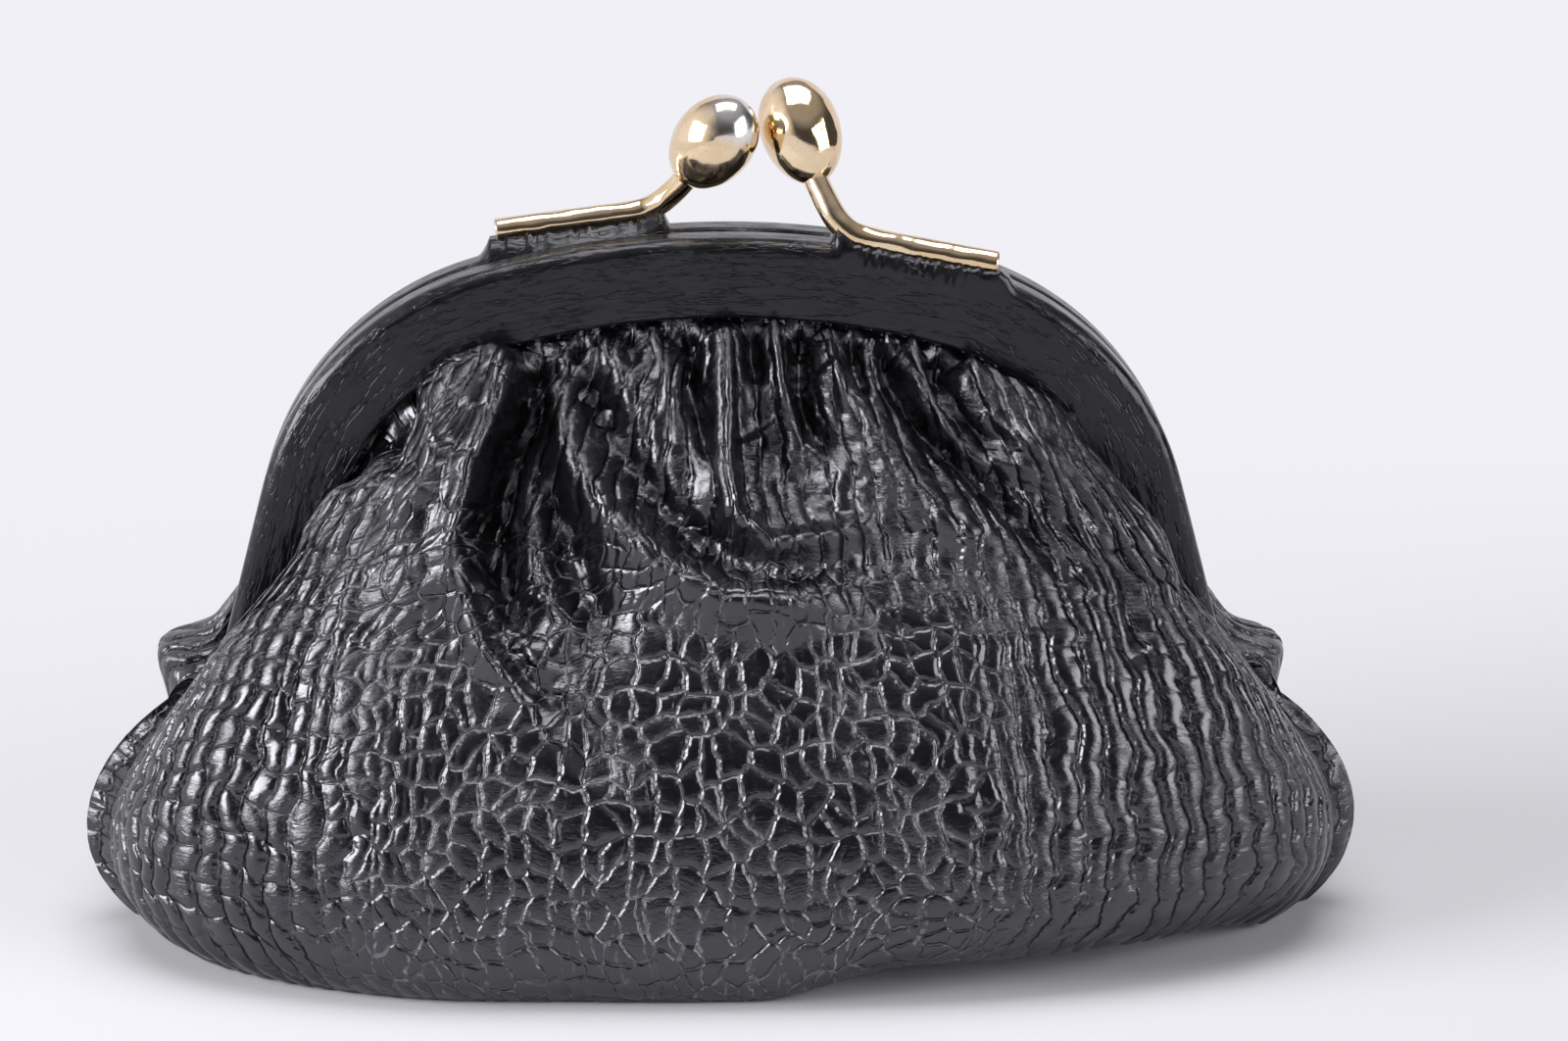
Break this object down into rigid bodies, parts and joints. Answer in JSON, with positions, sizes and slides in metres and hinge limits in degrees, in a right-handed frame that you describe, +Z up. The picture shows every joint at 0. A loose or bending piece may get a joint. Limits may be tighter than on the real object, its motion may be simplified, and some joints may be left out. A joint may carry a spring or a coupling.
{
  "type": "kiss lock frame purse",
  "caption": "Small gathered leather pouch on a leather-covered arched metal frame, hinged at both ends and closed by two crossing balls on bent rods.",
  "frame": {"origin": "middle of the purse's underside, on the surface it stands on", "axes": "+X along the frame from hinge to hinge, +Y to the back, +Z up towards the clasp"},
  "size_m": [0.1266, 0.0588, 0.087],
  "materials": {
    "pouch_leather": "glossy crackled black leather",
    "cover_leather": "smooth semi-gloss black leather",
    "clasp_gold": "polished pale gold plating",
    "frame_steel": "bare bent strip",
    "rivet_metal": "plated rivet",
    "paper_cord": "twisted paper",
    "lining_cloth": "plain woven lining",
    "thread": "waxed sewing thread"
  },
  "bodies": {
    "pouch": {"front_panel": "pouch_leather", "back_panel": "pouch_leather", "front_lining": "lining_cloth", "back_lining": "lining_cloth", "left_rivet": "rivet_metal", "right_rivet": "rivet_metal", "panel_seam_thread": "thread", "lining_seam_thread": "thread"},
    "front_half": {"front_channel": "frame_steel", "front_cover": "cover_leather", "front_clasp_arm": "clasp_gold", "front_clasp_ball": "clasp_gold", "front_paper_cord": "paper_cord"},
    "back_half": {"back_channel": "frame_steel", "back_cover": "cover_leather", "back_clasp_arm": "clasp_gold", "back_clasp_ball": "clasp_gold", "back_paper_cord": "paper_cord"}
  },
  "joints": [
    {"name": "front_hinge", "type": "hinge", "parent": "pouch", "child": "front_half", "pos_m": [0, 0, 0.027], "axis": [1, 0, 0], "range_deg": [0, 45], "deforming": ["front_panel", "front_lining"]},
    {"name": "back_hinge", "type": "hinge", "parent": "pouch", "child": "back_half", "pos_m": [0, 0, 0.027], "axis": [-1, 0, 0], "range_deg": [0, 45], "deforming": ["back_panel", "back_lining"]}
  ]
}
